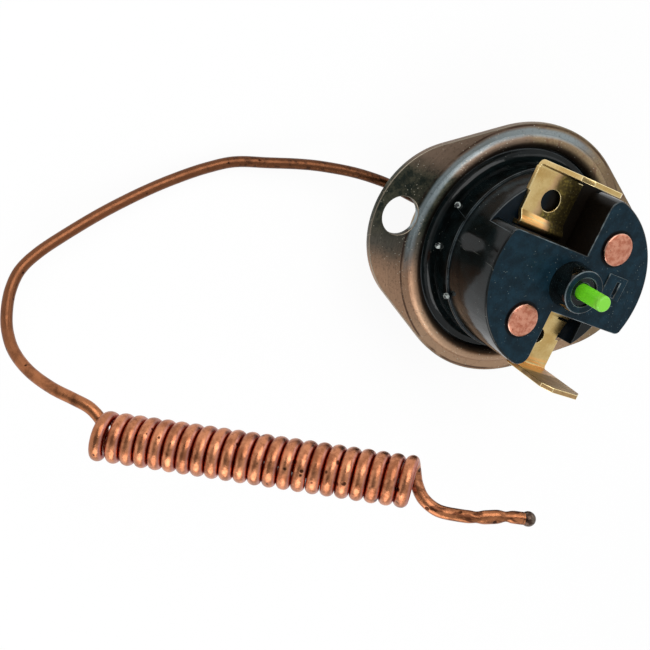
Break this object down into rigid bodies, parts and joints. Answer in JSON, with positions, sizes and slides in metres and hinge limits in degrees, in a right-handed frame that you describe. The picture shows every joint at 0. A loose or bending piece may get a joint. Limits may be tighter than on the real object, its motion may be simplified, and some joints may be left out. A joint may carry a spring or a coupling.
{
  "type": "thermal cutout",
  "caption": "Round thermal cutout with an oval flange, push-on tabs, a reset button, and a copper capillary wound into a sensing coil.",
  "frame": {"origin": "on the body's axis, in the plane of the flange's rear face, half way between the two fixing holes", "axes": "+Z along the body's axis, out of the front where the button is; +X along the line of the two ears; the capillary leaves towards -X"},
  "size_m": [0.0808, 0.0478, 0.0431],
  "materials": {
    "flange_steel": "passivated steel, brown and olive tints, satin",
    "cup_steel": "drawn steel, satin",
    "spring_steel": "bright spring steel",
    "laminate": "brown laminate",
    "black_moulding": "glossy black moulding with a satin face",
    "brass_sheet": "bright rolled brass",
    "copper_rivet": "copper-plated, slightly mottled",
    "bronze_strip": "rolled bronze",
    "contact_silver": "polished silver",
    "white_ceramic": "unglazed ceramic",
    "green_plastic": "bright green moulding",
    "copper_tube": "drawn copper with brown tarnish",
    "braze": "braze metal",
    "solder": "dull solder bead over copper"
  },
  "bodies": {
    "base": {"flange": "flange_steel", "pressure_cup": "cup_steel", "diaphragm": "spring_steel", "guide_plate": "laminate", "housing": "black_moulding", "upper_terminal": "brass_sheet", "lower_terminal": "brass_sheet", "upper_rivet": "copper_rivet", "lower_rivet": "copper_rivet", "pivot_bush": "brass_sheet", "fixed_contact": "contact_silver", "button_guide": "black_moulding", "reset_spring": "spring_steel", "capillary_tube": "copper_tube", "braze_fillet": "braze", "tip_seal": "solder"},
    "button": {"reset_button": "green_plastic", "button_clip": "spring_steel"},
    "pin": {"transfer_pin": "white_ceramic", "diaphragm_pad": "spring_steel"},
    "arm": {"contact_arm": "bronze_strip", "moving_contact": "contact_silver"}
  },
  "joints": [
    {"name": "button_press", "type": "slide", "parent": "base", "child": "button", "axis": [0, 0, -1], "range_m": [0, 0.0012], "stiffness_N_per_m": 400, "deforming": ["reset_spring"]},
    {"name": "pin_lift", "type": "slide", "parent": "base", "child": "pin", "axis": [0, 0, 1], "range_m": [0, 0.0004], "deforming": ["diaphragm"]},
    {"name": "arm_rock", "type": "hinge", "parent": "base", "child": "arm", "pos_m": [0.0045, 0.00567, 0.00305], "axis": [-0.7832, 0.6218, 0], "range_deg": [0, 3.25]}
  ],
  "couplings": [
    {"joint": "arm_rock", "follows": "pin_lift", "rad_per_m": 140}
  ]
}
